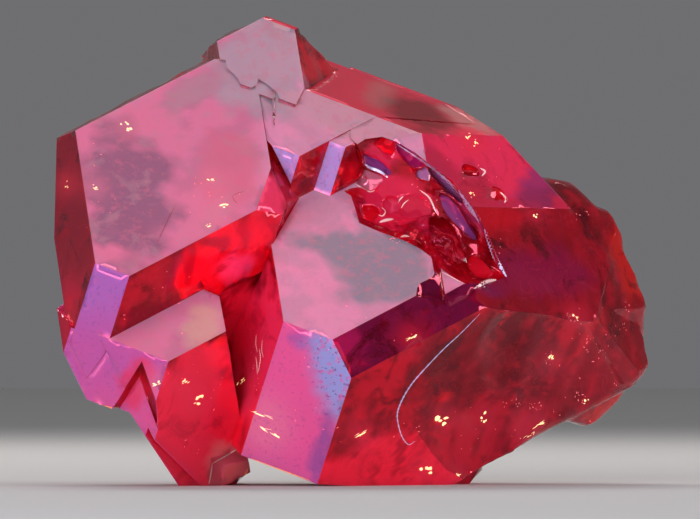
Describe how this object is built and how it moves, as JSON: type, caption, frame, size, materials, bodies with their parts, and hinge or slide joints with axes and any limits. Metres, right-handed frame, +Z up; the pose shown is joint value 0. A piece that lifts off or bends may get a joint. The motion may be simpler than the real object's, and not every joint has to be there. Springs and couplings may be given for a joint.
{
  "type": "cuprite crystal specimen",
  "caption": "Loose cluster of intergrown, glassy red cube-octahedral crystals with pale octahedral faces, a shell-like break on one side and a flat resting cut.",
  "frame": {"origin": "middle of the bounding box, on the flat resting cut", "axes": "+X to the worn right end, the longest extent; +Y away from the side that shows the large terraces; +Z up from the resting cut"},
  "size_m": [0.022, 0.0134, 0.0173],
  "materials": {
    "cuprite": "adamantine, clear to cloudy deep red"
  },
  "bodies": {
    "root": {"cuprite_crystal": "cuprite"}
  },
  "joints": []
}
